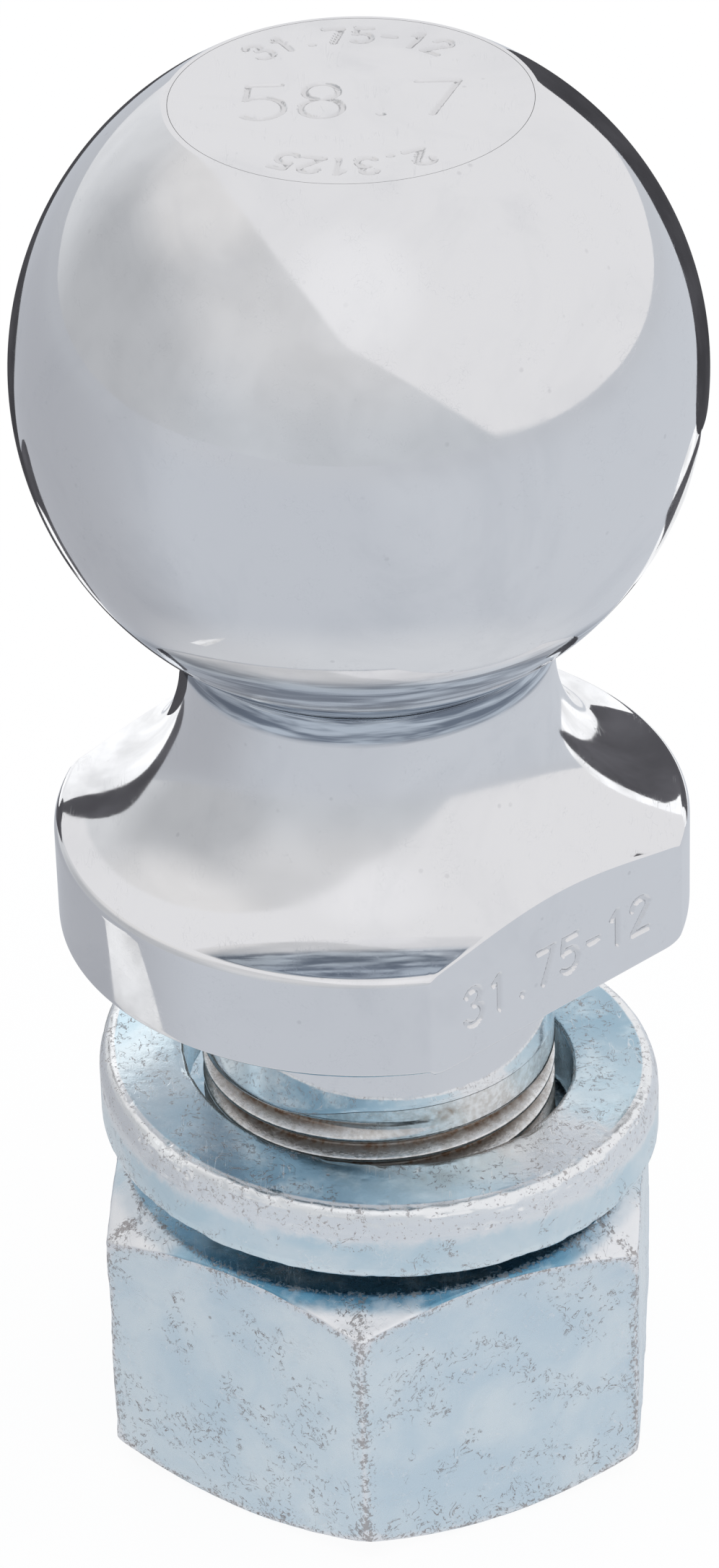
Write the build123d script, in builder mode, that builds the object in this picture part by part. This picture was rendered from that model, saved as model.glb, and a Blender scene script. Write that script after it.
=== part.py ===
from build123d import *
from math import cos, pi, radians, sin, sqrt, tan
import os

# Trailer hitch ball: a one-piece ball stud, a split lock washer and a hex nut.
# Millimetres. The axis is Z, the nut's bottom face is at Z 0 and the ball is on top.
# Directions round the axis are in degrees from the front, -Y, towards +X.

INCH = 25.4

# Ball and neck
BALL_R = 2.3125 * INCH / 2
BALL_Z = 106.4
TOP_FLAT_R = 15.4
TOP_EDGE = 0.4
NECK_R = 16.2
NECK_FILLET = 1.6

# Bell-shaped flare over a flange with two wrench flats
FLARE_R = 15.8
FLANGE_R = 27.8
FLANGE_TOP = 63.0
FLANGE_BOTTOM = 52.85
FLANGE_RIM = 1.0
FLAT_TO_AXIS = 23.5
FLAT_DIRECTION = 41.5
UNDERCUT_FILLET = 0.8

# Shank, with a smooth collar above a thread of 1-1/4 inch and 12 to the inch
SHANK_R = 1.25 * INCH / 2
SHANK_END = 0.5
END_CHAMFER = 1.6
COLLAR_BOTTOM = 41.2
PITCH = INCH / 12
CREST_R = SHANK_R - 0.07
ROOT_R = SHANK_R - 1.32
CREST_WIDTH = PITCH / 8
FLANK = tan(radians(30))
CREST_AT_FRONT = 38.1

# Hex nut
NUT_ACROSS_FLATS = 1.875 * INCH
NUT_HEIGHT = 27.0
NUT_CORNER_DIRECTION = -5.0
NUT_FACE_R = 23.3
NUT_BORE_R = ROOT_R + 0.28
NUT_LEAD_IN = 1.5
THREAD_GAP = 0.12

# Lock washer, a left-hand coil that lies loose on the nut
WASHER_INNER_R = 17.4
WASHER_OUTER_R = 25.1
WASHER_TOP_OUTER_R = 24.5
WASHER_THICK = 7.1
WASHER_SHOULDER = 5.4
WASHER_EDGE = 0.6
WASHER_LEAD = 7.0
WASHER_SPLIT = 150.0
WASHER_SPLIT_GAP = 1.5
WASHER_LIFT = 0.02

# Stamped size numbers
STROKE = 0.5
STAMP_DEPTH = 0.25

BALL_TOP = BALL_Z + sqrt(BALL_R**2 - TOP_FLAT_R**2)
NUT_CORNER_R = NUT_ACROSS_FLATS / sqrt(3)
CREST_ON_X = CREST_AT_FRONT + PITCH / 4

# Each numeral is a few pen strokes in a box 4 wide and 6 high.
# Two points are a straight stroke, and three are an arc through the middle one.
NUMERALS = {
    "1": [((1.0, 4.8), (2.2, 6)), ((2.2, 6), (2.2, 0))],
    "2": [
        ((0.3, 4.4), (2.0, 6), (3.7, 4.4)),
        ((3.7, 4.4), (0.3, 0)),
        ((0.3, 0), (3.8, 0)),
    ],
    "3": [((0.4, 5.2), (2.9, 5.6), (1.8, 3.3)), ((1.8, 3.3), (3.5, 0.9), (0.3, 0.8))],
    "5": [
        ((3.5, 6), (0.8, 6)),
        ((0.8, 6), (0.6, 3.4)),
        ((0.6, 3.4), (3.7, 2.1), (0.4, 0.5)),
    ],
    "7": [((0.3, 6), (3.7, 6)), ((3.7, 6), (1.4, 0))],
    "8": [
        ((2, 3.2), (0.6, 4.6), (2, 6)),
        ((2, 6), (3.4, 4.6), (2, 3.2)),
        ((2, 3.2), (0.3, 1.6), (2, 0)),
        ((2, 0), (3.7, 1.6), (2, 3.2)),
    ],
    ".": [((1.9, 0.2), (2.1, 0.2))],
    "-": [((0.9, 3), (3.1, 3))],
}


def row_places(text, spacing):
    """Where each character of a straight row goes: x, y and its turn."""
    middle = (len(text) - 1) / 2
    return [((index - middle) * spacing, 0, 0) for index in range(len(text))]


def ring_places(text, radius, step, centre):
    """Where each character of a row bent round a circle goes, heads outwards."""
    middle = (len(text) - 1) / 2
    turns = [centre - (index - middle) * step for index in range(len(text))]
    return [
        (radius * cos(radians(turn)), radius * sin(radians(turn)), turn - 90)
        for turn in turns
    ]


def numeral_strokes(text, height, places):
    """The end and middle points of every pen stroke, each character turned into its place."""
    scale = height / 6
    strokes = []
    for character, (x0, y0, turn) in zip(text, places):
        c, s = cos(radians(turn)), sin(radians(turn))
        for stroke in NUMERALS[character]:
            box = [((x - 2) * scale, (y - 3) * scale) for x, y in stroke]
            strokes.append([(x0 + x * c - y * s, y0 + x * s + y * c) for x, y in box])
    return strokes


def stamp_solid(text, height, places, plane):
    """The pen strokes as a solid that stands half above the plane and STAMP_DEPTH below it."""
    with BuildPart() as stamp:
        with BuildSketch(plane):
            for stroke in numeral_strokes(text, height, places):
                with BuildLine():
                    if len(stroke) == 2:
                        Line(*stroke)
                    else:
                        ThreePointArc(*stroke)
                trace(line_width=STROKE)
                with Locations(stroke[0], stroke[-1]):
                    Circle(STROKE / 2)
        extrude(amount=STAMP_DEPTH, both=True)
    return stamp.part


def thread_solid(outline, first_turn, turns):
    """A closed outline, given as (radius, height) round a crest, swept along the thread's helix."""
    start = CREST_ON_X + first_turn * PITCH
    with BuildPart() as swept:
        with BuildLine(Plane.XY.offset(start)) as path:
            Helix(pitch=PITCH, height=turns * PITCH, radius=ROOT_R)
        with BuildSketch(Plane(origin=(0, 0, start), x_dir=(1, 0, 0), z_dir=(0, -1, 0))):
            with BuildLine():
                Polyline(*outline, close=True)
            make_face()
        sweep(path=path.line, is_frenet=True)
    return swept.part


# Ball stud: points of the turned outline, from the ball's top down to the collar

fillet_r = NECK_R + NECK_FILLET
fillet_z = BALL_Z - sqrt((BALL_R + NECK_FILLET) ** 2 - fillet_r**2)
touch = BALL_R / (BALL_R + NECK_FILLET)
ball_end = (fillet_r * touch, BALL_Z + (fillet_z - BALL_Z) * touch)
flare_axis_r = NECK_R + FLARE_R
flare_start = FLANGE_TOP + sqrt(FLARE_R**2 - (flare_axis_r - FLANGE_R) ** 2)
flare_middle = (flare_axis_r - FLARE_R * cos(pi / 4), flare_start - FLARE_R * sin(pi / 4))
blank_end = SHANK_END - 2 * PITCH

# size numbers: the ball's diameter in the middle of the top, other sizes round it
top_plane = Plane.XY.offset(BALL_TOP)
stamps = [
    stamp_solid("58.7", 6.0, row_places("58.7", 4.8), top_plane),
    stamp_solid("31.75-12", 2.6, ring_places("31.75-12", 11.9, 11, 90), top_plane),
    stamp_solid("2.3125", 2.6, ring_places("2.3125", 11.9, 11, 270), top_plane),
]

# the shank's size on the front wrench flat
flat_turn = radians(FLAT_DIRECTION)
flat_plane = Plane(
    origin=(
        FLAT_TO_AXIS * sin(flat_turn),
        -FLAT_TO_AXIS * cos(flat_turn),
        (FLANGE_BOTTOM + FLANGE_TOP) / 2,
    ),
    x_dir=(cos(flat_turn), sin(flat_turn), 0),
    z_dir=(sin(flat_turn), -cos(flat_turn), 0),
)
stamps.append(stamp_solid("31.75-12", 3.4, row_places("31.75-12", 2.8), flat_plane))

# the thread's ridge, sunk a little into the shank's core and run up into the collar
crest_half = CREST_WIDTH / 2
sunk_r = ROOT_R - 0.15
foot_half = crest_half + (CREST_R - sunk_r) * FLANK
ridge = thread_solid(
    [(sunk_r, -foot_half), (CREST_R, -crest_half), (CREST_R, crest_half), (sunk_r, foot_half)],
    -19,
    21,
)

# the threaded shank, cut to length with a chamfered end
with BuildPart() as shank:
    with BuildSketch(Plane.XY.offset(blank_end)):
        Circle(ROOT_R)
    extrude(amount=FLANGE_BOTTOM - blank_end)
    add(ridge)
    with BuildSketch(Plane.XZ):
        with BuildLine():
            Polyline(
                (0, blank_end - 1),
                (SHANK_R + 4, blank_end - 1),
                (SHANK_R + 4, SHANK_END + END_CHAMFER + 4),
                (SHANK_R - END_CHAMFER, SHANK_END),
                (0, SHANK_END),
                close=True,
            )
        make_face()
    revolve(axis=Axis.Z, mode=Mode.SUBTRACT)

with BuildPart() as ball_stud:
    with BuildSketch(Plane.XZ):
        with BuildLine():
            Line((0, BALL_TOP), (TOP_FLAT_R, BALL_TOP))
            ThreePointArc((TOP_FLAT_R, BALL_TOP), (BALL_R, BALL_Z), ball_end)
            ThreePointArc(
                ball_end,
                (fillet_r - NECK_FILLET * cos(radians(25)), fillet_z + NECK_FILLET * sin(radians(25))),
                (NECK_R, fillet_z),
            )
            Line((NECK_R, fillet_z), (NECK_R, flare_start))
            ThreePointArc((NECK_R, flare_start), flare_middle, (FLANGE_R, FLANGE_TOP))
            Polyline(
                (FLANGE_R, FLANGE_TOP),
                (FLANGE_R, FLANGE_BOTTOM),
                (SHANK_R, FLANGE_BOTTOM),
                (SHANK_R, COLLAR_BOTTOM),
                (0, COLLAR_BOTTOM),
                (0, BALL_TOP),
            )
        make_face()
    revolve(axis=Axis.Z)

    # rounded edges: the top flat's rim, the flange's two rims, and under the flange
    rims = ball_stud.edges().filter_by(GeomType.CIRCLE)
    fillet(rims.group_by(Axis.Z)[-1], TOP_EDGE)
    for height in (FLANGE_TOP, FLANGE_BOTTOM):
        rims = ball_stud.edges().filter_by(GeomType.CIRCLE)
        rim = rims.filter_by_position(Axis.Z, height - 0.01, height + 0.01)
        fillet(rim.sort_by(SortBy.RADIUS)[-1], FLANGE_RIM)
    rims = ball_stud.edges().filter_by(GeomType.CIRCLE)
    root = rims.filter_by_position(Axis.Z, FLANGE_BOTTOM - 0.01, FLANGE_BOTTOM + 0.01)
    fillet(root.sort_by(SortBy.RADIUS)[0], UNDERCUT_FILLET)

    # two wrench flats, cut through the flange and the foot of the flare
    with BuildSketch(Plane.XY.offset(FLANGE_BOTTOM - 1)):
        with Locations(Rotation(0, 0, FLAT_DIRECTION)):
            with Locations((0, FLAT_TO_AXIS + 5), (0, -FLAT_TO_AXIS - 5)):
                Rectangle(2 * FLANGE_R, 10)
    extrude(amount=16, mode=Mode.SUBTRACT)

    for stamp in stamps:
        add(stamp, mode=Mode.SUBTRACT)
    add(shank.part)


# Lock washer: one turn of a left-hand coil of nearly square wire, cut square at the split

washer_path_r = (WASHER_INNER_R + WASHER_OUTER_R) / 2
split_turn = WASHER_SPLIT_GAP / (2 * pi * washer_path_r)
low_end = NUT_HEIGHT + WASHER_LIFT

with BuildPart() as lock_washer:
    with BuildLine(Plane.XY.offset(low_end)) as coil:
        Helix(
            pitch=WASHER_LEAD,
            height=WASHER_LEAD * (1 - split_turn),
            radius=washer_path_r,
            lefthand=True,
        )
    with BuildSketch(Plane(origin=(0, 0, low_end), x_dir=(1, 0, 0), z_dir=(0, -1, 0))) as wire:
        with BuildLine():
            Polyline(
                (WASHER_INNER_R, 0),
                (WASHER_OUTER_R, 0),
                (WASHER_OUTER_R, WASHER_SHOULDER),
                (WASHER_TOP_OUTER_R, WASHER_THICK),
                (WASHER_INNER_R, WASHER_THICK),
                close=True,
            )
        make_face()
        fillet(wire.vertices(), WASHER_EDGE)
    sweep(path=coil.line, is_frenet=True)

# the coil starts on +X, so it is turned until its split is at the back
lock_washer.part = lock_washer.part.rotate(Axis.Z, WASHER_SPLIT - 90 - 180 * split_turn)


# Hex nut: a prism chamfered at both ends, with an internal thread

# the thread's groove stands THREAD_GAP clear of the stud's ridge all round
groove_r = CREST_R + THREAD_GAP
inside_r = NUT_BORE_R - 0.3
side_gap = THREAD_GAP / cos(radians(30))
deep_half = crest_half + side_gap - THREAD_GAP * FLANK
open_half = crest_half + side_gap + (CREST_R - inside_r) * FLANK
groove = thread_solid(
    [(inside_r, -open_half), (groove_r, -deep_half), (groove_r, deep_half), (inside_r, open_half)],
    -20,
    17,
)

with BuildPart() as hex_nut:
    with BuildSketch(Plane.XY):
        RegularPolygon(NUT_CORNER_R, 6, rotation=NUT_CORNER_DIRECTION - 90)
    extrude(amount=NUT_HEIGHT)

    # both ends are turned to a 30 degree chamfer that just cuts into the six faces
    envelope_r = NUT_CORNER_R + 1
    drop = (envelope_r - NUT_FACE_R) * FLANK
    with BuildSketch(Plane.XZ):
        with BuildLine():
            Polyline(
                (0, 0),
                (NUT_FACE_R, 0),
                (envelope_r, drop),
                (envelope_r, NUT_HEIGHT - drop),
                (NUT_FACE_R, NUT_HEIGHT),
                (0, NUT_HEIGHT),
                close=True,
            )
        make_face()
    revolve(axis=Axis.Z, mode=Mode.INTERSECT)

    # bore with a countersink at each end
    sink_r = NUT_BORE_R + NUT_LEAD_IN
    with BuildSketch(Plane.XZ):
        with BuildLine():
            Polyline(
                (0, -1),
                (sink_r + 1, -1),
                (NUT_BORE_R, NUT_LEAD_IN),
                (NUT_BORE_R, NUT_HEIGHT - NUT_LEAD_IN),
                (sink_r + 1, NUT_HEIGHT + 1),
                (0, NUT_HEIGHT + 1),
                close=True,
            )
        make_face()
    revolve(axis=Axis.Z, mode=Mode.SUBTRACT)

    add(groove, mode=Mode.SUBTRACT)


ball_stud.part.label = "ball_stud"
lock_washer.part.label = "lock_washer"
hex_nut.part.label = "hex_nut"

os.makedirs("parts", exist_ok=True)
export_step(ball_stud.part, "parts/ball_stud.step")
export_step(lock_washer.part, "parts/lock_washer.step")
export_step(hex_nut.part, "parts/hex_nut.step")
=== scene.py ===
from math import acos, atan2, cos, degrees, radians, sin, sqrt, tan

import bpy
import numpy as np
from mathutils import Matrix, Vector
from mathutils.bvhtree import BVHTree


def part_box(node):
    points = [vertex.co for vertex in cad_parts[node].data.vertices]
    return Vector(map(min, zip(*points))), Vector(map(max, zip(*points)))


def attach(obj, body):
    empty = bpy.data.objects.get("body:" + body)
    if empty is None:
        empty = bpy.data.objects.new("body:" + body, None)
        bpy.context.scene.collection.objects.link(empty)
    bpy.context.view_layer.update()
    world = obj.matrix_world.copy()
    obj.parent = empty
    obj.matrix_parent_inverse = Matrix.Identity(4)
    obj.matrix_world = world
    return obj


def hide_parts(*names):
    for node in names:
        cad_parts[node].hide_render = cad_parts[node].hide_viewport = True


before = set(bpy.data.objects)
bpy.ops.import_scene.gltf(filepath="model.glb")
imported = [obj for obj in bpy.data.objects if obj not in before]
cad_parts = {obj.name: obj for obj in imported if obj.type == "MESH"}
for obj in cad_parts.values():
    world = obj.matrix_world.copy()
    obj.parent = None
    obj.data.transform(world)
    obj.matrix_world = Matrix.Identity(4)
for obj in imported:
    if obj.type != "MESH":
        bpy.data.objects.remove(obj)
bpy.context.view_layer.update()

# Sizes are in millimetres until a mesh is made, and MM turns them into metres.
# Directions round the axis are in degrees from the front, -Y, towards +X.
MM = 0.001
INCH = 25.4

stud_low, stud_high = (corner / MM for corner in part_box("ball_stud"))
nut_low, nut_high = (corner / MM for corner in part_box("hex_nut"))
washer_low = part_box("lock_washer")[0] / MM

# Ball stud
BALL_TOP = stud_high.z
BALL_R = 2.3125 * INCH / 2 - 0.02
TOP_FLAT_R = 15.4
BALL_Z = BALL_TOP - sqrt(BALL_R**2 - TOP_FLAT_R**2)
TOP_EDGE = 0.4
NECK_R = 16.2
NECK_FILLET = 1.6
FLARE_R = 15.8
FLANGE_R = 27.8
FLANGE_TOP = 63.0
FLANGE_BOTTOM = 52.85
FLANGE_RIM = 1.0
FLAT_TO_AXIS = 23.5
FLAT_DIRECTIONS = (41.5, 221.5)
UNDERCUT = 0.8
SHANK_R = 1.25 * INCH / 2
SHANK_END = stud_low.z
END_CHAMFER = 1.6
COLLAR_BOTTOM = 41.2
PITCH = INCH / 12
CREST_R = SHANK_R - 0.07
ROOT_R = SHANK_R - 1.32
CREST_WIDTH = PITCH / 8
FLANK = tan(radians(30))
CREST_AT_FRONT = 38.1
SOFT_EDGE = 0.22

# Centres of the stud's rounded edges, which follow from its sizes
TOP_EDGE_Z = BALL_TOP - TOP_EDGE
TOP_EDGE_R = sqrt((BALL_R - TOP_EDGE) ** 2 - (TOP_EDGE_Z - BALL_Z) ** 2)
FILLET_R = NECK_R + NECK_FILLET
FILLET_Z = BALL_Z - sqrt((BALL_R + NECK_FILLET) ** 2 - FILLET_R**2)
FLARE_CENTRE_R = NECK_R + FLARE_R
FLARE_CENTRE_Z = FLANGE_TOP + sqrt(FLARE_R**2 - (FLARE_CENTRE_R - FLANGE_R) ** 2)
RIM_R = FLANGE_R - FLANGE_RIM
HIGH_RIM_Z = FLARE_CENTRE_Z - sqrt((FLARE_R + FLANGE_RIM) ** 2 - (FLARE_CENTRE_R - RIM_R) ** 2)
LOW_RIM_Z = FLANGE_BOTTOM + FLANGE_RIM

# Hex nut
NUT_ACROSS_FLATS = 1.875 * INCH
NUT_BOTTOM = nut_low.z
NUT_TOP = nut_high.z
NUT_CORNER = -5.0
NUT_FACE_R = 23.3
NUT_HEIGHT = NUT_TOP - NUT_BOTTOM
NUT_BORE_R = ROOT_R + 0.28
NUT_LEAD_IN = 1.5
NUT_SINK_R = NUT_BORE_R + NUT_LEAD_IN
THREAD_GAP = 0.12

# Lock washer
WASHER_INNER_R = 17.4
WASHER_OUTER_R = 25.1
WASHER_TOP_OUTER_R = 24.5
WASHER_THICK = 7.1
WASHER_SHOULDER = 5.4
WASHER_LEAD = 7.0
WASHER_SPLIT = 150.0
WASHER_SPLIT_GAP = 1.5


# ---------------------------------------------------------------- mesh helpers

def smoothstep(x, low, high):
    t = np.clip((np.asarray(x, float) - low) / (high - low), 0, 1)
    return t * t * (3 - 2 * t)


def smooth_min(a, b, k):
    h = np.clip(0.5 + 0.5 * (b - a) / k, 0, 1)
    return b * (1 - h) + a * h - k * h * (1 - h)


def lattice(points, seed):
    """Smooth values from -1 to 1 at points (..., 3), one cell per unit, fixed by the seed."""
    cell = np.floor(points).astype(np.int64)
    part = points - cell
    part = part * part * (3 - 2 * part)
    total = np.zeros(points.shape[:-1])
    for corner in range(8):
        step = np.array([corner & 1, corner >> 1 & 1, corner >> 2 & 1])
        x, y, z = np.moveaxis(cell + step, -1, 0)
        # large multipliers scramble the cell's place and the seed into one fixed value
        mixed = (x * 73856093) ^ (y * 19349663) ^ (z * 83492791) ^ (seed * 2654435761)
        mixed = (mixed ^ (mixed >> 13)) * 1274126177
        value = ((mixed ^ (mixed >> 16)) & 0xFFFF) / 32767.5 - 1
        weight = np.prod(np.where(step == 1, part, 1 - part), axis=-1)
        total += value * weight
    return total


def ripple(points, size, seed):
    """Layered lattice values at points in millimetres; size is the largest feature."""
    octaves = 3
    total = np.zeros(points.shape[:-1])
    for octave in range(octaves):
        total += lattice(points / size * 2**octave, seed + octave) / 2**octave
    return total / (2 - 2 ** (1 - octaves))


def turned(radius, height, direction):
    """Points (..., 3) from radius, height and direction in degrees."""
    a = np.radians(direction)
    radius, height, a = np.broadcast_arrays(radius, height, a)
    return np.stack([radius * np.sin(a), -radius * np.cos(a), height], axis=-1)


def grid_faces(rows, columns, closed, first=0, flip=False):
    """Quads over a grid of vertices numbered row by row."""
    last = columns if closed else columns - 1
    r, c = np.meshgrid(np.arange(rows - 1), np.arange(last), indexing="ij")
    n = (c + 1) % columns
    near = r * columns
    far = near + columns
    quads = np.stack([near + c, far + c, far + n, near + n], axis=-1).reshape(-1, 4) + first
    return quads[:, ::-1] if flip else quads


def direction_vector(turn, rise):
    """A unit vector by its direction round the axis and its rise, in degrees."""
    a, e = radians(turn), radians(rise)
    return Vector((sin(a) * cos(e), -cos(a) * cos(e), sin(e)))


def joined(first, second):
    """The masks of two meshes that become one, end to end."""
    return {key: np.concatenate([first[key].ravel(), second[key].ravel()]) for key in first}


def make_piece(name, points, faces, material, body, node, masks, fans=()):
    """A smooth-shaded mesh from points in millimetres, which rides on a body and stands for a CAD node."""
    mesh = bpy.data.meshes.new(name)
    corners = [tuple(int(i) for i in face) for face in faces] + [tuple(int(i) for i in fan) for fan in fans]
    mesh.from_pydata((points * MM).tolist(), [], corners)
    for key, values in masks.items():
        attribute = mesh.attributes.new(key, "FLOAT", "POINT")
        attribute.data.foreach_set("value", np.asarray(values, np.float32).ravel())
    mesh.polygons.foreach_set("use_smooth", np.ones(len(mesh.polygons), bool))
    mesh.validate()
    mesh.update()
    piece = bpy.data.objects.new(name, mesh)
    bpy.context.scene.collection.objects.link(piece)
    mesh.materials.append(material)
    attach(piece, body)
    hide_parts(node)


# ---------------------------------------------------------------- material helpers

class Nodes:
    """Short calls for building a node tree."""

    def __init__(self, tree):
        self.tree = tree
        tree.nodes.clear()

    def put(self, value, socket):
        if isinstance(value, bpy.types.NodeSocket):
            self.tree.links.new(value, socket)
        elif value is not None:
            socket.default_value = value

    def add(self, kind, settings=None, **inputs):
        """A new node. Inputs go by name, or as i0, i1 and so on by number."""
        node = self.tree.nodes.new(kind)
        for key, value in (settings or {}).items():
            setattr(node, key, value)
        for key, value in inputs.items():
            numbered = key[0] == "i" and key[1:].isdigit()
            self.put(value, node.inputs[int(key[1:]) if numbered else key.replace("_", " ")])
        return node

    def math(self, operation, a, b=0.5, clamp=False):
        return self.add("ShaderNodeMath", {"operation": operation, "use_clamp": clamp}, i0=a, i1=b).outputs[0]

    def plus(self, a, b, clamp=False):
        return self.math("ADD", a, b, clamp)

    def minus(self, a, b):
        return self.math("SUBTRACT", a, b)

    def times(self, a, b):
        return self.math("MULTIPLY", a, b)

    def larger(self, a, b):
        return self.math("MAXIMUM", a, b)

    def dot(self, vector, direction):
        node = self.add("ShaderNodeVectorMath", {"operation": "DOT_PRODUCT"}, i0=vector, i1=tuple(direction))
        return node.outputs["Value"]

    def ramp(self, value, low, high, to_low=0.0, to_high=1.0):
        """A smooth step between two values of the input."""
        settings = {"interpolation_type": "SMOOTHSTEP"}
        node = self.add("ShaderNodeMapRange", settings, i0=value, i1=low, i2=high, i3=to_low, i4=to_high)
        return node.outputs[0]

    def mix(self, factor, a, b):
        """One colour turning into another as the factor goes from 0 to 1."""
        settings = {"data_type": "RGBA", "clamp_factor": True}
        return self.add("ShaderNodeMix", settings, i0=factor, i6=a, i7=b).outputs[2]

    def noise(self, vector, scale, detail=3.0, rough=0.55, distortion=0.0):
        """Cloudy values about 0.5; a larger scale makes smaller clouds."""
        return self.add(
            "ShaderNodeTexNoise",
            Vector=vector, Scale=scale, Detail=detail, Roughness=rough, Distortion=distortion,
        ).outputs[0]

    def dots(self, vector, scale, low, high):
        """Round dots scattered one to a cell, 1 at their middles and 0 outside."""
        distance = self.add("ShaderNodeTexVoronoi", Vector=vector, Scale=scale).outputs[0]
        return self.ramp(distance, low, high, 1.0, 0.0)

    def attribute(self, name):
        return self.add("ShaderNodeAttribute", {"attribute_name": name}).outputs["Fac"]

    def stretched(self, vector, scale, turn=(0.0, 0.0, 0.0)):
        return self.add("ShaderNodeMapping", Vector=vector, Scale=scale, Rotation=turn).outputs[0]

    def glowing_matte(self, colour, strength, matte):
        """A matte surface that also glows, so that shadows on it stay faint."""
        glow = self.add("ShaderNodeEmission", Color=colour, Strength=strength).outputs[0]
        diffuse = self.add("ShaderNodeBsdfDiffuse", Color=matte).outputs[0]
        return self.add("ShaderNodeAddShader", i0=glow, i1=diffuse).outputs[0]

    def camera_sees(self, seen, otherwise):
        """One shader for the camera's own rays and another for every other ray."""
        ray = self.add("ShaderNodeLightPath").outputs["Is Camera Ray"]
        return self.add("ShaderNodeMixShader", i0=ray, i1=otherwise, i2=seen).outputs[0]


def millimetre_space(n):
    """The object's own coordinates in millimetres."""
    place = n.add("ShaderNodeTexCoord").outputs["Object"]
    return n.stretched(place, (1 / MM, 1 / MM, 1 / MM))


def new_material(name):
    material = bpy.data.materials.new(name)
    material.use_nodes = True
    return material, Nodes(material.node_tree)


def finish_material(n, base, rough, bump, metallic=1.0):
    inputs = {"Base_Color": base, "Roughness": rough, "Metallic": metallic, "Normal": bump}
    shader = n.add("ShaderNodeBsdfPrincipled", **inputs)
    n.add("ShaderNodeOutputMaterial", Surface=shader.outputs[0])


def scratches(n, p, scale, turn):
    """Thin broken lines along one direction, 0 to 1."""
    width, length = 0.012, 14.0
    along = n.stretched(p, (scale, scale / length, scale), turn)
    lines = n.noise(along, 1.0, 1.0, 0.4, 0.25)
    edge = n.math("ABSOLUTE", n.minus(lines, 0.5))
    thin = n.ramp(edge, 0.0, width, 1.0, 0.0)
    where = n.ramp(n.noise(p, 0.35, 2.0), 0.5, 0.62)
    return n.times(thin, where)


# ---------------------------------------------------------------- materials

# In each material n makes the nodes, and p is the place on the object in millimetres.

def chrome_material():
    """Polished chrome with smudges and fine scratches, and a dark streaked band of painted shade round the
    neck.
    """
    material, n = new_material("polished_chrome")
    p = millimetre_space(n)
    smudge = n.ramp(n.noise(p, 0.07, 4.0, 0.6, 0.8), 0.46, 0.72)
    haze = n.noise(p, 0.9, 5.0, 0.65)
    fine = n.plus(scratches(n, p, 2.2, (0.3, 0.9, 0.4)), scratches(n, p, 1.6, (1.2, 0.2, 2.1)), clamp=True)
    plane = n.attribute("brushed")
    rough = n.plus(0.035, n.times(smudge, 0.05))
    rough = n.plus(rough, n.times(n.ramp(haze, 0.35, 0.75), 0.02))
    rough = n.plus(rough, n.times(fine, 0.09))
    rough = n.plus(rough, n.times(plane, 0.10))
    base = n.mix(smudge, (0.885, 0.888, 0.897, 1), (0.83, 0.836, 0.85, 1))
    base = n.mix(n.times(fine, 0.35), base, (0.72, 0.73, 0.75, 1))
    # painted shade: the neck mask turns the chrome under the ball a dark, streaked steel blue
    streak = n.ramp(n.noise(n.stretched(p, (0.09, 0.09, 1.0)), 1.0, 3.0, 0.6, 0.4), 0.38, 0.62)
    base = n.mix(n.attribute("neck"), base, n.mix(streak, (0.70, 0.76, 0.82, 1), (0.22, 0.255, 0.31, 1)))
    dirt = n.attribute("grime")
    speck = n.dots(p, 0.55, 0.05, 0.16)
    speck = n.times(speck, n.ramp(n.noise(p, 0.2, 2.0), 0.55, 0.66))
    base = n.mix(n.times(speck, 0.25), base, (0.45, 0.45, 0.47, 1))
    base = n.mix(n.times(dirt, 0.75), base, (0.20, 0.17, 0.15, 1))
    rough = n.plus(rough, n.times(dirt, 0.3))
    wave = n.plus(n.noise(p, 0.10, 2.0, 0.5), n.times(n.noise(p, 1.1, 3.0), 0.05))
    wave = n.minus(wave, n.times(fine, 0.02))
    bump = n.add("ShaderNodeBump", Strength=0.35, Distance=0.06 * MM, Height=wave).outputs[0]
    finish_material(n, base, rough, bump)
    return material


def thread_material():
    """Oiled steel: pale crests, and brown and rust in the grooves."""
    material, n = new_material("threaded_steel")
    p = millimetre_space(n)
    groove = n.math("POWER", n.attribute("groove"), 1.7)
    blotch = n.noise(p, 0.45, 4.0, 0.6, 0.4)
    rust = n.times(groove, n.ramp(blotch, 0.30, 0.56))
    light = n.mix(n.ramp(n.noise(p, 1.6, 4.0), 0.35, 0.7), (0.90, 0.91, 0.91, 1), (0.70, 0.685, 0.66, 1))
    dark = n.mix(n.ramp(n.noise(p, 2.4, 3.0), 0.4, 0.62), (0.36, 0.30, 0.25, 1), (0.22, 0.13, 0.08, 1))
    base = n.mix(n.times(groove, 0.75), light, (0.34, 0.31, 0.285, 1))
    base = n.mix(rust, base, dark)
    stain = n.attribute("stain")
    base = n.mix(n.times(stain, n.ramp(blotch, 0.3, 0.6)), base, (0.30, 0.19, 0.11, 1))
    rough = n.plus(0.12, n.times(groove, 0.26))
    rough = n.plus(rough, n.times(n.noise(p, 3.0, 3.0), 0.15))
    metal = n.minus(1.0, n.times(rust, 0.55))
    height = n.plus(n.noise(p, 3.2, 4.0, 0.6), n.times(rust, 0.4))
    bump = n.add("ShaderNodeBump", Strength=0.6, Distance=0.06 * MM, Height=height).outputs[0]
    finish_material(n, base, rough, bump, metal)
    return material


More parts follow.
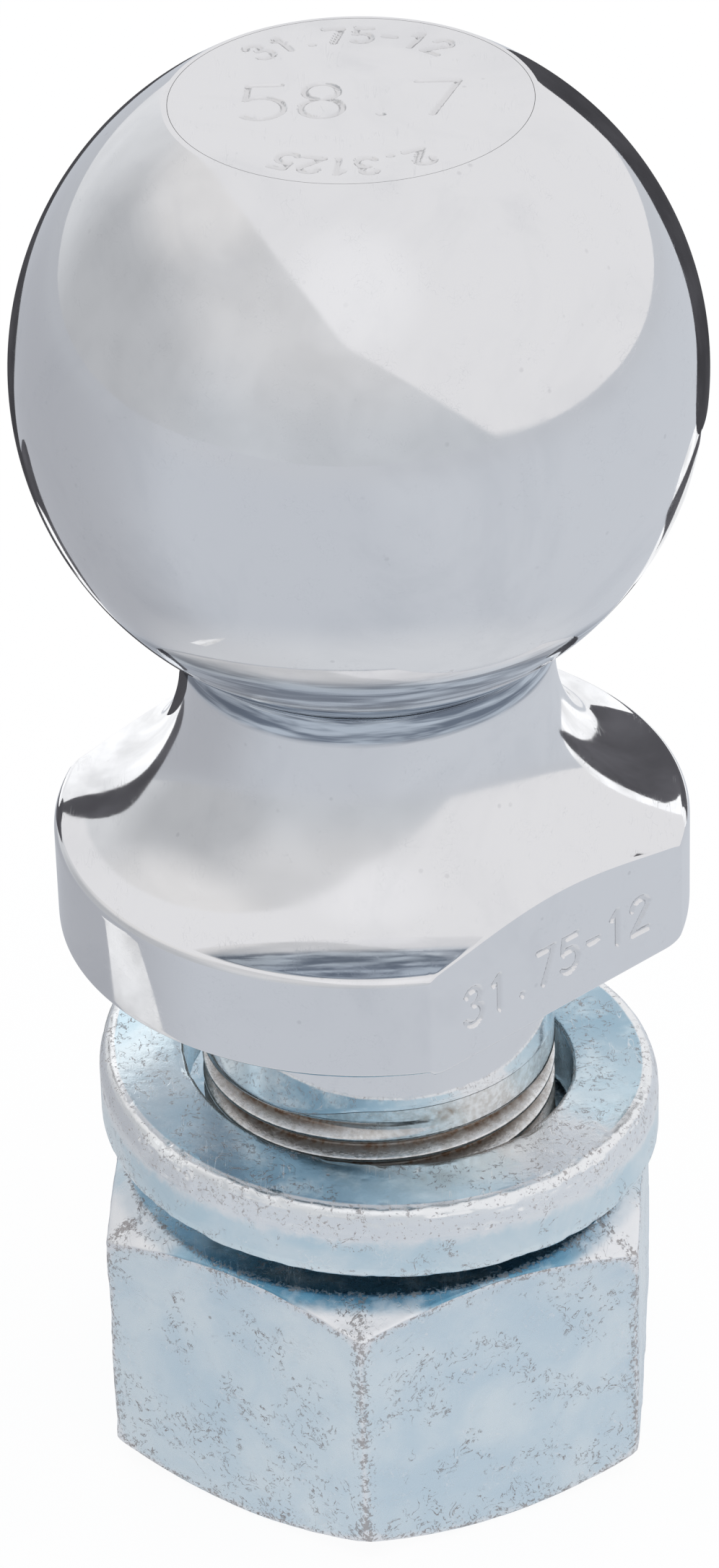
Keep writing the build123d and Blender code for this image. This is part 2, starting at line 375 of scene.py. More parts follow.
def zinc_material(name, pale, deep, bare_and_highlight_colour, soil, gap, gloss, specks):
    """Blue zinc plate: pale and deep clouds, bare worn edges and painted highlights, brown soil, and blue
    painted shade in the gaps.
    """
    material, n = new_material(name)
    p = millimetre_space(n)
    cloud = n.noise(p, 0.11, 4.0, 0.55, 0.5)
    mottle = n.noise(p, 0.7, 5.0, 0.62, 0.3)
    grain = n.noise(p, 5.5, 3.0, 0.6)
    base = n.mix(n.ramp(cloud, 0.30, 0.70), pale, deep)
    base = n.mix(n.times(n.ramp(mottle, 0.48, 0.70), 0.16), base, deep)
    # the wear mask gives bare metal on worn edges, and on the washer's top face also a painted highlight
    wear_and_highlight = n.attribute("wear_and_highlight")
    edge = n.attribute("edge")
    ragged_wear_and_highlight = n.plus(wear_and_highlight, n.times(n.minus(mottle, 0.5), 0.9))
    bare_and_highlight = n.ramp(ragged_wear_and_highlight, 0.30, 0.75)
    base = n.mix(n.times(bare_and_highlight, 0.85), base, bare_and_highlight_colour)
    # painted shade: where the shade mask is set, the plate turns to the deep blue gap colour
    painted_shade = n.times(n.attribute("painted_shade"), n.ramp(n.noise(p, 0.3, 4.0, 0.6), 0.30, 0.56, 0.45, 1.0))
    base = n.mix(painted_shade, base, gap)

    # brown specks along the edges, and a few over the faces
    fine = n.noise(p, 2.6, 4.0, 0.7, 0.4)
    broken = n.times(n.minus(n.noise(p, 0.45, 3.0), 0.5), 0.30)
    rubbed = n.plus(n.plus(n.times(edge, specks), fine), broken)
    dot = n.dots(p, 0.55, 0.05, 0.13)
    dot = n.times(dot, n.ramp(n.noise(p, 0.25, 3.0), 0.56, 0.66))
    speck = n.larger(n.times(n.ramp(rubbed, 0.61, 0.66), n.ramp(edge, 0.05, 0.35)), dot)
    base = n.mix(n.times(speck, 0.66), base, soil)

    # short hairline cracks in the plating, mostly low down
    contour = n.math("ABSOLUTE", n.minus(n.noise(p, 0.62, 5.0, 0.62, 1.1), 0.5))
    crack = n.times(n.ramp(contour, 0.004, 0.020, 1.0, 0.0), n.ramp(n.noise(p, 1.5, 2.0), 0.44, 0.54))
    low = n.attribute("stain")
    patch = n.ramp(n.plus(n.noise(p, 0.20, 3.0), n.times(low, 0.13)), 0.52, 0.58)
    crack = n.times(crack, patch)
    base = n.mix(n.times(crack, 0.85), base, soil)
    stain = n.times(low, n.ramp(n.noise(p, 1.3, 5.0, 0.75), 0.60, 0.72))
    base = n.mix(n.times(stain, 0.16), base, soil)
    cut = n.plus(scratches(n, p, 1.4, (0.5, 0.3, 0.9)), scratches(n, p, 1.1, (1.4, 0.8, 2.4)), clamp=True)
    base = n.mix(n.times(cut, 0.45), base, bare_and_highlight_colour)
    rough = n.plus(gloss, n.times(n.ramp(mottle, 0.3, 0.7), 0.10))
    rough = n.plus(rough, n.times(bare_and_highlight, 0.05))
    rough = n.plus(rough, n.times(n.larger(speck, crack), 0.25), clamp=True)
    metal = n.minus(1.0, n.times(n.larger(speck, stain), 0.4))
    height = n.plus(n.times(mottle, 0.7), n.times(grain, 0.1))
    height = n.minus(height, n.times(n.larger(crack, speck), 0.5))
    height = n.minus(height, n.times(cut, 0.25))
    bump = n.add("ShaderNodeBump", Strength=0.5, Distance=0.08 * MM, Height=height).outputs[0]
    finish_material(n, base, rough, bump, metal)
    return material


chrome = chrome_material()
thread_steel = thread_material()
nut_zinc = zinc_material(
    "nut_blue_zinc",
    pale=(0.82, 0.905, 0.945, 1),
    deep=(0.67, 0.80, 0.885, 1),
    bare_and_highlight_colour=(0.97, 0.97, 0.98, 1),
    soil=(0.33, 0.29, 0.28, 1),
    # the colour of the painted shade
    gap=(0.17, 0.38, 0.53, 1),
    gloss=0.22,
    specks=0.12,
)
washer_zinc = zinc_material(
    "washer_blue_zinc",
    pale=(0.86, 0.94, 0.97, 1),
    deep=(0.66, 0.82, 0.90, 1),
    # white for bare metal, and for the painted highlight on the top face
    bare_and_highlight_colour=(1.0, 1.0, 1.0, 1),
    soil=(0.40, 0.36, 0.35, 1),
    # the colour of the painted shade
    gap=(0.27, 0.45, 0.58, 1),
    gloss=0.13,
    specks=0.02,
)


# ---------------------------------------------------------------- ball stud

def arc(centre, radius, start, end, count):
    """Points of an arc in the radius-height plane, by angle in degrees from outwards."""
    a = np.radians(np.linspace(start, end, count))
    return np.stack([centre[0] + radius * np.cos(a), centre[1] + radius * np.sin(a)], axis=-1)


def along(line, places):
    """Points at given lengths along a dense line of points."""
    steps = np.hypot(*np.diff(line, axis=0).T)
    length = np.concatenate([[0], np.cumsum(steps)])
    places = np.asarray(places) * length[-1]
    return np.stack([np.interp(places, length, line[:, 0]), np.interp(places, length, line[:, 1])], axis=-1)


def bend(before, corner, after, count):
    """A soft corner between two points, without its ends."""
    t = np.linspace(0, 1, count + 2)[1:-1, None]
    return before * (1 - t) ** 2 + corner * 2 * t * (1 - t) + after * t**2


def direction_columns():
    """Directions of the stud's mesh columns, close together over the front wrench flat."""
    half = degrees(acos(FLAT_TO_AXIS / FLANGE_R))
    found = []
    for centre, count in zip(FLAT_DIRECTIONS, (176, 56)):
        edge = FLAT_TO_AXIS * tan(radians(half))
        inside = np.degrees(np.arctan(np.linspace(-edge, edge, count) / FLAT_TO_AXIS))
        rounding = np.array([-1.4, -1.0, -0.7, -0.4, 0.4, 0.7, 1.0, 1.4])
        found.append(centre + inside)
        found.append(centre - half + rounding[:4] - 0.1)
        found.append(centre + half + rounding[4:] + 0.1)
        found.append(centre + np.linspace(half + 2.4, 180 - half - 2.4, 116))
    return np.sort(np.unique(np.round(np.concatenate(found) % 360, 4)))


def flat_limit(direction):
    """The flange's radius in each direction, with the two wrench flats cut off it."""
    limit = np.full(len(direction), FLANGE_R)
    for centre in FLAT_DIRECTIONS:
        turn = np.cos(np.radians(direction - centre))
        flat = np.where(turn > 0.5, FLAT_TO_AXIS / np.maximum(turn, 0.5), 99.0)
        limit = smooth_min(limit, flat, 0.06)
    return np.minimum(limit, FLANGE_R)


def cad_surface(node):
    """A CAD node's surface, on which rays can be cast."""
    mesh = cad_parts[node].data
    return BVHTree.FromPolygons([v.co for v in mesh.vertices], [p.vertices for p in mesh.polygons])


def stamp_depths(tree, origins, direction):
    """How far below each origin the CAD surface lies, averaged over a few rays, in millimetres."""
    reach = 1.0
    side = direction.orthogonal().normalized()
    other = direction.cross(side)
    depths = np.zeros(len(origins))
    spread = [(0, 0), (0.06, 0.02), (-0.06, -0.02), (0.02, -0.06), (-0.02, 0.06)]
    for u, v in spread:
        shift = (side * u + other * v) * MM
        for index, origin in enumerate(origins):
            start = Vector(origin * MM) - direction * reach * MM + shift
            hit = tree.ray_cast(start, direction, 2 * reach * MM)
            if hit[0] is not None:
                depths[index] += (hit[3] / MM - reach) / len(spread)
    return depths


def ball_outline():
    """The ball from the rounded edge of its flat top to the neck, as radius and height."""
    edge_angle = degrees(atan2(TOP_EDGE_Z - BALL_Z, TOP_EDGE_R))
    end_angle = degrees(atan2(FILLET_Z - BALL_Z, FILLET_R))
    return np.concatenate([
        [(TOP_EDGE_R - 0.3, BALL_TOP), (TOP_EDGE_R - 0.12, BALL_TOP)],
        arc((TOP_EDGE_R, TOP_EDGE_Z), TOP_EDGE, 90, edge_angle, 9),
        arc((0, BALL_Z), BALL_R, edge_angle, end_angle, 128)[1:],
        arc((FILLET_R, FILLET_Z), NECK_FILLET, 180 + end_angle, 180, 12)[1:],
    ])


def flare_outline():
    """The neck, the flare and the flange's top edge, as radius and height, before a flat cuts them."""
    rim_angle = degrees(atan2(FLARE_CENTRE_Z - HIGH_RIM_Z, FLARE_CENTRE_R - RIM_R))
    return np.concatenate([
        [(NECK_R, FILLET_Z)],
        arc((FLARE_CENTRE_R, FLARE_CENTRE_Z), FLARE_R, 180, 180 + rim_angle, 400),
        arc((RIM_R, HIGH_RIM_Z), FLANGE_RIM, rim_angle, 0, 80)[1:],
    ])


def flange_column(outline, limit):
    """Radius and height down one side of the flare and flange, whose radius there is the limit."""
    cut = limit <= RIM_R
    low = FLANGE_BOTTOM if cut else LOW_RIM_Z - sqrt(max(FLANGE_RIM**2 - (limit - RIM_R) ** 2, 0))

    # down the flare, with its points closer together near the flange's edge
    inside = outline[outline[:, 0] < limit - 1e-6]
    top_z = np.interp(limit, outline[1:, 0], outline[1:, 1])
    corner = np.array([limit, top_z])
    curve = np.concatenate([inside, [corner]])
    length = np.hypot(*np.diff(curve, axis=0).T).sum()
    spread = np.concatenate([np.linspace(0, 0.7, 56), np.linspace(0.7, 1, 44)[1:]])
    flare = along(curve, spread * (1 - SOFT_EDGE / length))

    # down the wall between two soft edges
    after = np.array([limit, top_z - SOFT_EDGE])
    foot = np.array([limit, low + SOFT_EDGE])
    wall = after + (foot - after) * np.linspace(0, 1, 60)[:, None]
    if cut:
        inner = np.array([limit - SOFT_EDGE, low])
    else:
        angle = acos(min(1, (limit - RIM_R) / FLANGE_RIM)) + SOFT_EDGE / FLANGE_RIM
        inner = np.array([RIM_R + FLANGE_RIM * cos(angle), LOW_RIM_Z - FLANGE_RIM * sin(angle)])

    # in along the underside to the collar
    t = np.array([0.02, 0.05, 0.085, 0.3, 0.6, 0.85])
    under_r = inner[0] + (SHANK_R + 1.2 - inner[0]) * t
    under_z = inner[1] + (FLANGE_BOTTOM - inner[1]) * np.minimum(1, t * 12)
    return np.concatenate([
        flare[1:],
        bend(flare[-1], corner, after, 5),
        wall,
        bend(foot, np.array([limit, low]), inner, 5),
        [inner],
        np.stack([under_r, under_z], axis=-1),
        [(SHANK_R + UNDERCUT + 0.2, FLANGE_BOTTOM)],
        arc((SHANK_R + UNDERCUT, FLANGE_BOTTOM - UNDERCUT), UNDERCUT, 90, 180, 8),
    ])


def collar_rows(directions, start_z):
    """The collar, whose lower edge steps down at the left, where the thread runs out."""
    step = smoothstep(directions, 360 - 150, 360 - 90) * (1 - smoothstep(directions, 360 - 34, 360 - 2))
    end_z = COLLAR_BOTTOM - 1.3 * step
    rows = [(SHANK_R, start_z + (end_z - start_z) * t) for t in (0.25, 0.5, 0.75, 0.94)]
    rows += [
        (SHANK_R, end_z + 0.16),
        (SHANK_R - 0.03, end_z + 0.05),
        (SHANK_R - 0.12, end_z),
        (ROOT_R - 0.5, end_z),
    ]
    return np.array([np.stack([np.full(len(directions), radius), z], axis=-1) for radius, z in rows])


def stamp_front_flat(tree, points):
    """Sink the front wrench flat's points to the CAD surface's stamped size, and give their depths."""
    facing = radians(FLAT_DIRECTIONS[0])
    normal = Vector((sin(facing), -cos(facing), 0))
    across = Vector((cos(facing), sin(facing), 0))
    on_flat = np.abs(points @ np.array(normal) - FLAT_TO_AXIS) < 0.01
    window = on_flat & (np.abs(points @ np.array(across)) < 13) & (np.abs(points[..., 2] - 57.9) < 3)
    sunk = np.zeros(points.shape[:2])
    sunk[window] = stamp_depths(tree, points[window], -normal)
    points -= np.array(normal) * sunk[..., None]
    return sunk


def flat_top(tree):
    """The ball's flat top with its stamped numbers, as points and how deep each is sunk."""
    ring_r = np.concatenate([[0.0], np.linspace(0.3, TOP_EDGE_R - 0.26, 120)])
    ring_turn = np.linspace(0, 360, 480, endpoint=False)
    disc = turned(ring_r[:, None], BALL_TOP, ring_turn[None, :])
    depth = stamp_depths(tree, disc.reshape(-1, 3), Vector((0, 0, -1))).reshape(disc.shape[:2])
    depth = np.clip(depth, 0, 0.3)
    depth[-3:] = 0
    disc[..., 2] -= depth
    return disc, depth


def stud_masks(points, profile, limits, sunk):
    """Where the photo shows a dark band under the ball, which is painted shade, duller metal on the flats and
    flare, and grime.
    """
    radius, height = profile[..., 0], profile[..., 1]
    # painted shade: a band round the neck, under the ball
    painted_neck_shade = smoothstep(height, 91.6, 89.6) * smoothstep(height, 79.1, 79.6) * (radius < 25.2)
    on_flats = (np.abs(limits - FLANGE_R) > 0.05) & (radius > limits - 0.02) & (height < 66)
    direction = np.degrees(np.arctan2(points[..., 0], -points[..., 1]))
    satin = np.exp(-(((direction + 10) / 62) ** 2))
    satin = satin * smoothstep(points[..., 2], 64.6, 67.0) * smoothstep(points[..., 2], 79.0, 76.0)
    return {
        "neck": painted_neck_shade,
        "brushed": np.maximum(on_flats * 0.5, 1.3 * satin),
        "grime": np.clip(sunk * 0.6, 0, 0.12),
    }


def build_stud():
    directions = direction_columns()
    limits = flat_limit(directions)
    outline = flare_outline()
    upper = np.repeat(ball_outline()[:, None], len(directions), axis=1)
    lower = np.swapaxes(np.array([flange_column(outline, limit) for limit in limits]), 0, 1)
    profile = np.concatenate([upper, lower, collar_rows(directions, lower[-1, :, 1])])
    points = turned(profile[..., 0], profile[..., 1], directions[None, :])

    tree = cad_surface("ball_stud")
    sunk = stamp_front_flat(tree, points)
    masks = stud_masks(points, profile, limits, sunk)
    top, depth = flat_top(tree)
    top_masks = {
        "neck": np.zeros(depth.shape),
        "brushed": np.full(depth.shape, 0.6),
        "grime": np.clip(depth * 0.7, 0, 0.14),
    }
    all_points = np.concatenate([points.reshape(-1, 3), top.reshape(-1, 3)])
    faces = np.concatenate([
        grid_faces(*sunk.shape, True),
        grid_faces(*depth.shape, True, sunk.size),
    ])
    masks = joined(masks, top_masks)
    make_piece("ball_and_flange", all_points, faces, chrome, "ball_stud", "ball_stud", masks)


def thread_section(flat_half, depth, steps):
    """Offsets along one pitch, each one's distance from the nearer ridge, and the drop there."""
    offsets = np.concatenate([steps, [PITCH / 2], PITCH - steps[::-1]])
    near = np.minimum(offsets, PITCH - offsets)
    return offsets, near, np.clip((near - flat_half) / FLANK, 0, depth)


def shank_thread():
    """A helical strip from crest to crest, which fades out under the collar."""
    crest_half = CREST_WIDTH / 2
    depth = CREST_R - ROOT_R
    foot = crest_half + depth * FLANK
    steps = np.array([
        0, crest_half * 0.8, crest_half * 1.15, crest_half + 0.1,
        foot * 0.45, foot * 0.7, foot * 0.9, foot + 0.02, foot + 0.09,
    ])
    offsets, near, drop = thread_section(crest_half, depth, steps)
    drop = np.where(near < crest_half * 1.2, np.maximum(drop, 0.01 * (near > crest_half * 0.9)), drop)
    first, last, per_turn = -360 * 18.5, 360 * 1.6, 224
    turn = np.linspace(first, last, int(per_turn * (last - first) / 360) + 1)
    height = CREST_AT_FRONT + PITCH * turn[None, :] / 360 + offsets[:, None]
    keep = 1 - smoothstep(turn, -42, 30)[None, :]
    radius = CREST_R - drop[:, None] * keep
    return radius, height, turn, (drop / depth)[:, None] * keep


def build_shank():
    radius, height, turn, deep = shank_thread()
    height = np.clip(height, SHANK_END, 47)
    chamfer = SHANK_R - END_CHAMFER + (height - SHANK_END)
    radius = np.minimum(radius, chamfer)
    band = smoothstep(turn, -42, 20)[None, :] * (deep < 0.02)
    radius = radius - 0.05 * band * (height < 45)
    points = turned(radius, height, turn[None, :])

    # small dents all over, and a rust spot where the thread runs out
    dent = 0.025 * ripple(points, 1.1, 31) + 0.05 * np.clip(ripple(points, 0.6, 5) - 0.45, 0, 1)
    away = turned(1.0, 0.0, turn[None, :]) * np.ones(radius.shape)[..., None]
    points = points + away * (-np.abs(dent))[..., None]
    place = np.degrees(np.arctan2(points[..., 0], -points[..., 1]))
    spot = np.exp(-((place - 20) / 6) ** 2 - ((points[..., 2] - 40.0) / 0.5) ** 2)
    masks = {"groove": np.clip(deep * 1.15, 0, 1), "stain": np.clip(spot * 1.5, 0, 1)}

    # the flat lower end
    end_r = np.array([0.0, SHANK_R - END_CHAMFER + 0.02])
    end_turn = np.linspace(0, 360, 224, endpoint=False)
    end = turned(end_r[:, None], SHANK_END, end_turn[None, :])
    clean = np.zeros(end.shape[:2])
    all_points = np.concatenate([points.reshape(-1, 3), end.reshape(-1, 3)])
    faces = np.concatenate([
        grid_faces(*radius.shape, False),
        grid_faces(*clean.shape, True, radius.size, flip=True),
    ])
    masks = joined(masks, {"groove": clean, "stain": clean})
    make_piece(
        "threaded_shank", all_points, faces, thread_steel,
        "ball_stud", "ball_stud", masks,
    )


# ---------------------------------------------------------------- lock washer

def rounded_outline(corners, radii, per_corner, spacing):
    """A closed outline through rounded corners, with points no further apart than the spacing."""
    corners = np.array(corners, float)
    pieces, marks = [], []
    for index, corner in enumerate(corners):
        before = corners[index - 1] - corner
        after = corners[(index + 1) % len(corners)] - corner
        size = radii[index]
        a = corner + before / np.hypot(*before) * size
        b = corner + after / np.hypot(*after) * size
        t = np.linspace(0, 1, per_corner)[:, None]
        pieces.append(a * (1 - t) ** 2 + corner * 2 * t * (1 - t) + b * t**2)
        marks.append(np.full(per_corner, float(index)))
        following = corners[(index + 1) % len(corners)]
        back = corner - following
        c = following + back / np.hypot(*back) * radii[(index + 1) % len(corners)]
        count = max(2, int(np.hypot(*(c - b)) / spacing))
        s = np.linspace(0, 1, count + 1)[1:-1, None]
        pieces.append(b + (c - b) * s)
        marks.append(np.full(count - 1, index + 0.5))
    return np.concatenate(pieces), np.concatenate(marks)


def build_washer():
    path_r = (WASHER_INNER_R + WASHER_OUTER_R) / 2
    corners = [
        (WASHER_INNER_R, 0),
        (WASHER_OUTER_R, 0),
        (WASHER_OUTER_R, WASHER_SHOULDER),
        (WASHER_TOP_OUTER_R, WASHER_THICK),
        (WASHER_INNER_R, WASHER_THICK),
    ]
    radii = (0.7, 0.8, 0.8, 0.75, 0.6)
    outline, marks = rounded_outline(corners, radii, 9, 0.22)
    middle = outline.mean(axis=0)
    half_gap = degrees(WASHER_SPLIT_GAP / 2 / path_r)
    end_inset = np.array([0.34, 0.16, 0.06, 0.0])
    end_turn = np.degrees(np.array([0.0, 0.06, 0.16, 0.36]) / path_r)
    low, high = WASHER_SPLIT + half_gap - 360, WASHER_SPLIT - half_gap
    inner = np.linspace(low + end_turn[-1], high - end_turn[-1], 620)
    turn = np.concatenate([low + end_turn[:-1], inner, high - end_turn[:-1][::-1]])
    inset = np.concatenate([end_inset[:-1], np.zeros(len(inner)), end_inset[:-1][::-1]])
    rise = washer_low.z + (high - turn) / 360 * WASHER_LEAD
    size = np.hypot(*(outline - middle).T)
    outward = (outline - middle) / size[:, None]
    section = outline[:, None, :] - outward[:, None, :] * inset[None, :, None]
    radius = section[..., 0]
    height = section[..., 1] + rise[None, :]
    points = turned(radius, height, turn[None, :])

    # Hammered and chewed edges: the outer top edge is the most worn.
    # Marks count the corners from 0, and half numbers are the stretches between them.
    marks = marks[:, None]
    is_corner = (np.abs(marks - np.round(marks)) < 0.01) * 1.0
    top_edge = ((marks > 1.6) & (marks < 3.4)) * 1.0
    push = turned(outward[:, 0][:, None], outward[:, 1][:, None], turn[None, :])
    chew = np.clip(ripple(points, 2.4, 11) * 1.4 + 0.1, 0, 1) * is_corner * 0.16
    chew += np.clip(ripple(points, 1.0, 21) - 0.25, 0, 1) * top_edge * 0.30
    chew += np.clip(ripple(points, 0.7, 41) - 0.5, 0, 1) * 0.10
    chew += 0.02 * (ripple(points, 5.0, 51) + 1)
    points = points - push * chew[..., None]

    # bare metal on the edges, and on the top face a painted highlight and painted shade in the stretches that
    # the photo shows
    everywhere = np.ones(radius.shape)
    from_corner = np.abs(marks - np.round(marks))
    outer_corner = (marks > 1.5) & (marks < 3.5)
    wall = ((marks > 0.9) & (marks < 2.1)) * smoothstep(section[..., 1], 1.6, 5.2)
    front = (turn[None, :] + 180) % 360 - 180
    top = (marks > 3.4) & (marks < 4.1)
    # painted highlight: a bright stretch at the front right of the top face, put into the wear mask
    painted_top_highlight = top * np.exp(-(((front - 47) / 17) ** 2))
    # painted shade: darker stretches at the front and at the back right of the top face
    shaded = np.exp(-(((front + 22) / 38) ** 2)) + 0.75 * np.exp(-(((front - 108) / 32) ** 2))
    speckled = np.where(from_corner < 0.01, np.where(outer_corner, 0.9, 0.7), 0.14 * top_edge)
    masks = {
        "wear_and_highlight": np.clip(np.maximum(0.85 * top_edge, 0.8 * wall) + 0.3 * is_corner + painted_top_highlight, 0, 1),
        "edge": everywhere * speckled,
        "stain": everywhere * (top * 0.6),
        "painted_shade": top * np.clip(shaded, 0, 1),
    }
    rows, columns = radius.shape
    all_points = np.swapaxes(points, 0, 1).reshape(-1, 3)
    faces = grid_faces(columns, rows, True, flip=True)
    masks = {key: np.swapaxes(value, 0, 1) for key, value in masks.items()}
    first_end = range(rows)
    last_end = range(columns * rows - 1, (columns - 1) * rows - 1, -1)
    ends = (first_end, last_end)
    make_piece(
        "split_washer", all_points, faces, washer_zinc,
        "lock_washer", "lock_washer", masks, ends,
    )


# ---------------------------------------------------------------- hex nut

def nut_outline():
    """Directions of the nut's mesh columns and its radius in each, with the corners blunted."""
    edge = np.linspace(-1, 1, 61)
    face_turn = np.degrees(np.arctan(edge * tan(radians(30)) * (1 - 1e-9)))
    near = np.array([-0.8, -0.5, -0.25, 0.25, 0.5, 0.8])
    found = []
    for face in range(6):
        found.append(NUT_CORNER + 30 + 60 * face + face_turn)
        found.append(NUT_CORNER + 60 * face + near)
    directions = np.sort(np.unique(np.round(np.concatenate(found) % 360, 3)))
    local = (directions - NUT_CORNER) % 60 - 30
    apothem = NUT_ACROSS_FLATS / 2
    sides = np.array([apothem / np.cos(np.radians(local + shift)) for shift in (-60, 0, 60)])
    blunt = NUT_ACROSS_FLATS / sqrt(3) - 0.16
    return directions, smooth_min(sides.min(axis=0), np.full(len(directions), blunt), 0.12)


def nut_column(radius):
    """Radius and height down one side of the nut, from the countersink over the chamfers."""
    drop = (radius - NUT_FACE_R) * tan(radians(30))
    face_corner = np.array([NUT_FACE_R, NUT_HEIGHT])
    arch = np.array([radius, NUT_HEIGHT - drop])
    length = np.hypot(*(arch - face_corner))
    slope = (arch - face_corner) / length
    soft_face = min(0.35, 0.45 * length)
    soft_arch = min(0.30, 0.45 * length)
    top = np.linspace(NUT_SINK_R + 0.2, NUT_FACE_R - soft_face, 26)
    a = np.array([NUT_FACE_R - soft_face, NUT_HEIGHT])
    b = face_corner + slope * soft_face
    c = arch - slope * soft_arch
    d = arch - np.array([0, 0.38])
    half = np.concatenate([
        np.stack([top, np.full(26, NUT_HEIGHT)], axis=-1),
        bend(a, face_corner, b, 4),
        [b],
        b + (c - b) * np.linspace(0, 1, 9)[1:, None],
        bend(c, arch, d, 4),
        d + (np.array([radius, NUT_HEIGHT / 2]) - d) * np.linspace(0, 1, 34)[:, None],
    ])
    mirrored = half[::-1][1:] * np.array([1, -1]) + np.array([0, NUT_HEIGHT])
    return np.concatenate([half, mirrored])


def nut_surface(profile, directions, hexagon):
    """The nut's outside, with worn corners and chamfer edges and dented faces, and its masks."""
    points = turned(profile[..., 0], profile[..., 1], directions[None, :])
    radius, height = profile[..., 0], profile[..., 1]
    from_corner = np.abs(np.abs((directions - NUT_CORNER) % 60 - 30) - 30)[None, :]
    drop = (hexagon[None, :] - NUT_FACE_R) * tan(radians(30))
    to_arch = np.minimum(np.abs(height - (NUT_TOP - drop)), np.abs(height - (NUT_BOTTOM + drop)))
    on_wall = radius > hexagon[None, :] - 0.05
    on_side = radius > NUT_FACE_R
    slope_zone = (radius > NUT_FACE_R - 0.1) & ~on_wall
    arch_line = np.where(on_wall, np.exp(-to_arch / 0.8), 0)
    corner_line = np.exp(-from_corner / 1.7) * on_side
    near_corner = smoothstep(30 - from_corner, 12, 27)
    wear_and_highlight = np.clip(arch_line * 0.75 + slope_zone * (0.4 + 0.6 * near_corner) + corner_line * 0.6, 0, 1)

    # the metal that is chewed off, inwards on the sides and down or up on the end faces
    outward = turned(1.0, 0.0, directions[None, :]) * np.ones((*radius.shape, 1))
    inward_z = np.where(height > (NUT_TOP + NUT_BOTTOM) / 2, -1.0, 1.0)
    chew = 0.30 * np.clip(ripple(points, 2.2, 3) + 0.25, 0, 1) * np.clip(arch_line + corner_line, 0, 1)
    chew += 0.16 * np.clip(ripple(points, 1.2, 13) - 0.2, 0, 1) * np.clip(wear_and_highlight * 1.2, 0, 1)
    chew += 0.05 * np.clip(ripple(points, 0.9, 23) - 0.45, 0, 1) + 0.018 * (ripple(points, 7.0, 33) + 1)
    points = points - outward * (chew * (radius > NUT_FACE_R - 0.5))[..., None]
    worn_face = slope_zone | (radius < NUT_FACE_R)
    points[..., 2] += inward_z * 0.10 * np.clip(ripple(points, 1.6, 43), 0, 1) * worn_face

    # thin lines along every edge, and the blue painted shade that the photo shows on the chamfers at the
    # front
    corner_mm = np.radians(from_corner) * 27
    edge_line = np.exp(-((to_arch / 0.6) ** 2)) * on_wall
    edge_line = np.maximum(edge_line, np.exp(-((corner_mm / 0.75) ** 2)) * on_side)
    edge_line = np.maximum(edge_line, np.exp(-(((radius - NUT_FACE_R) / 0.3) ** 2)))
    facing = 0.25 + 0.75 * smoothstep(np.cos(np.radians(directions)), 0.45, 0.85)
    return points, {
        "wear_and_highlight": wear_and_highlight,
        "edge": edge_line,
        "stain": smoothstep(height, NUT_BOTTOM + 13, NUT_BOTTOM + 2) * on_side,
        "painted_shade": smoothstep(radius, 25.3, 24.3) * (height > NUT_TOP - 3) * ~on_wall * facing,
    }


def nut_bore():
    """The nut's internal thread and countersinks, as one helical strip."""
    side_gap = THREAD_GAP / cos(radians(30))
    ridge_half = PITCH / 2 - (CREST_WIDTH / 2 + side_gap + (CREST_R - NUT_BORE_R) * FLANK)
    depth = CREST_R + THREAD_GAP - NUT_BORE_R
    foot = ridge_half + depth * FLANK
    steps = np.array([0, ridge_half, ridge_half + 0.05, foot * 0.6, foot, foot + 0.05])
    offsets, _, into = thread_section(ridge_half, depth, steps)
    turns, per_turn = 19, 144
    turn = np.linspace(-360 * turns, 0, turns * per_turn + 1)
    height = CREST_AT_FRONT + PITCH / 2 + PITCH * turn[None, :] / 360 + offsets[:, None]
    height = np.clip(height, NUT_BOTTOM + 0.02, NUT_TOP - 0.02)
    from_end = np.minimum(height - NUT_BOTTOM, NUT_TOP - height)
    radius = np.maximum(NUT_BORE_R + into[:, None], NUT_SINK_R + 0.2 - from_end)
    return turned(radius, height, turn[None, :])


def build_nut():
    directions, hexagon = nut_outline()
    profile = np.swapaxes(np.array([nut_column(radius) for radius in hexagon]), 0, 1)
    profile[..., 1] += NUT_BOTTOM
    points, masks = nut_surface(profile, directions, hexagon)
    bore = nut_bore()
    bore_size = bore.shape[:2]
    # the bore is even all through: some wear, stain, and a painted shade that darkens it
    bore_levels = {"wear_and_highlight": 0.2, "edge": 0.0, "stain": 0.8, "painted_shade": 0.4}
    bore_masks = {key: np.full(bore_size, level) for key, level in bore_levels.items()}
    all_points = np.concatenate([points.reshape(-1, 3), bore.reshape(-1, 3)])
    faces = np.concatenate([
        grid_faces(*points.shape[:2], True),
        grid_faces(*bore_size, False, len(directions) * len(points), flip=True),
    ])
    masks = joined(masks, bore_masks)
    make_piece("hex_nut_body", all_points, faces, nut_zinc, "hex_nut", "hex_nut", masks)


build_stud()
build_shank()
build_washer()
build_nut()


# ---------------------------------------------------------------- floor, light and camera

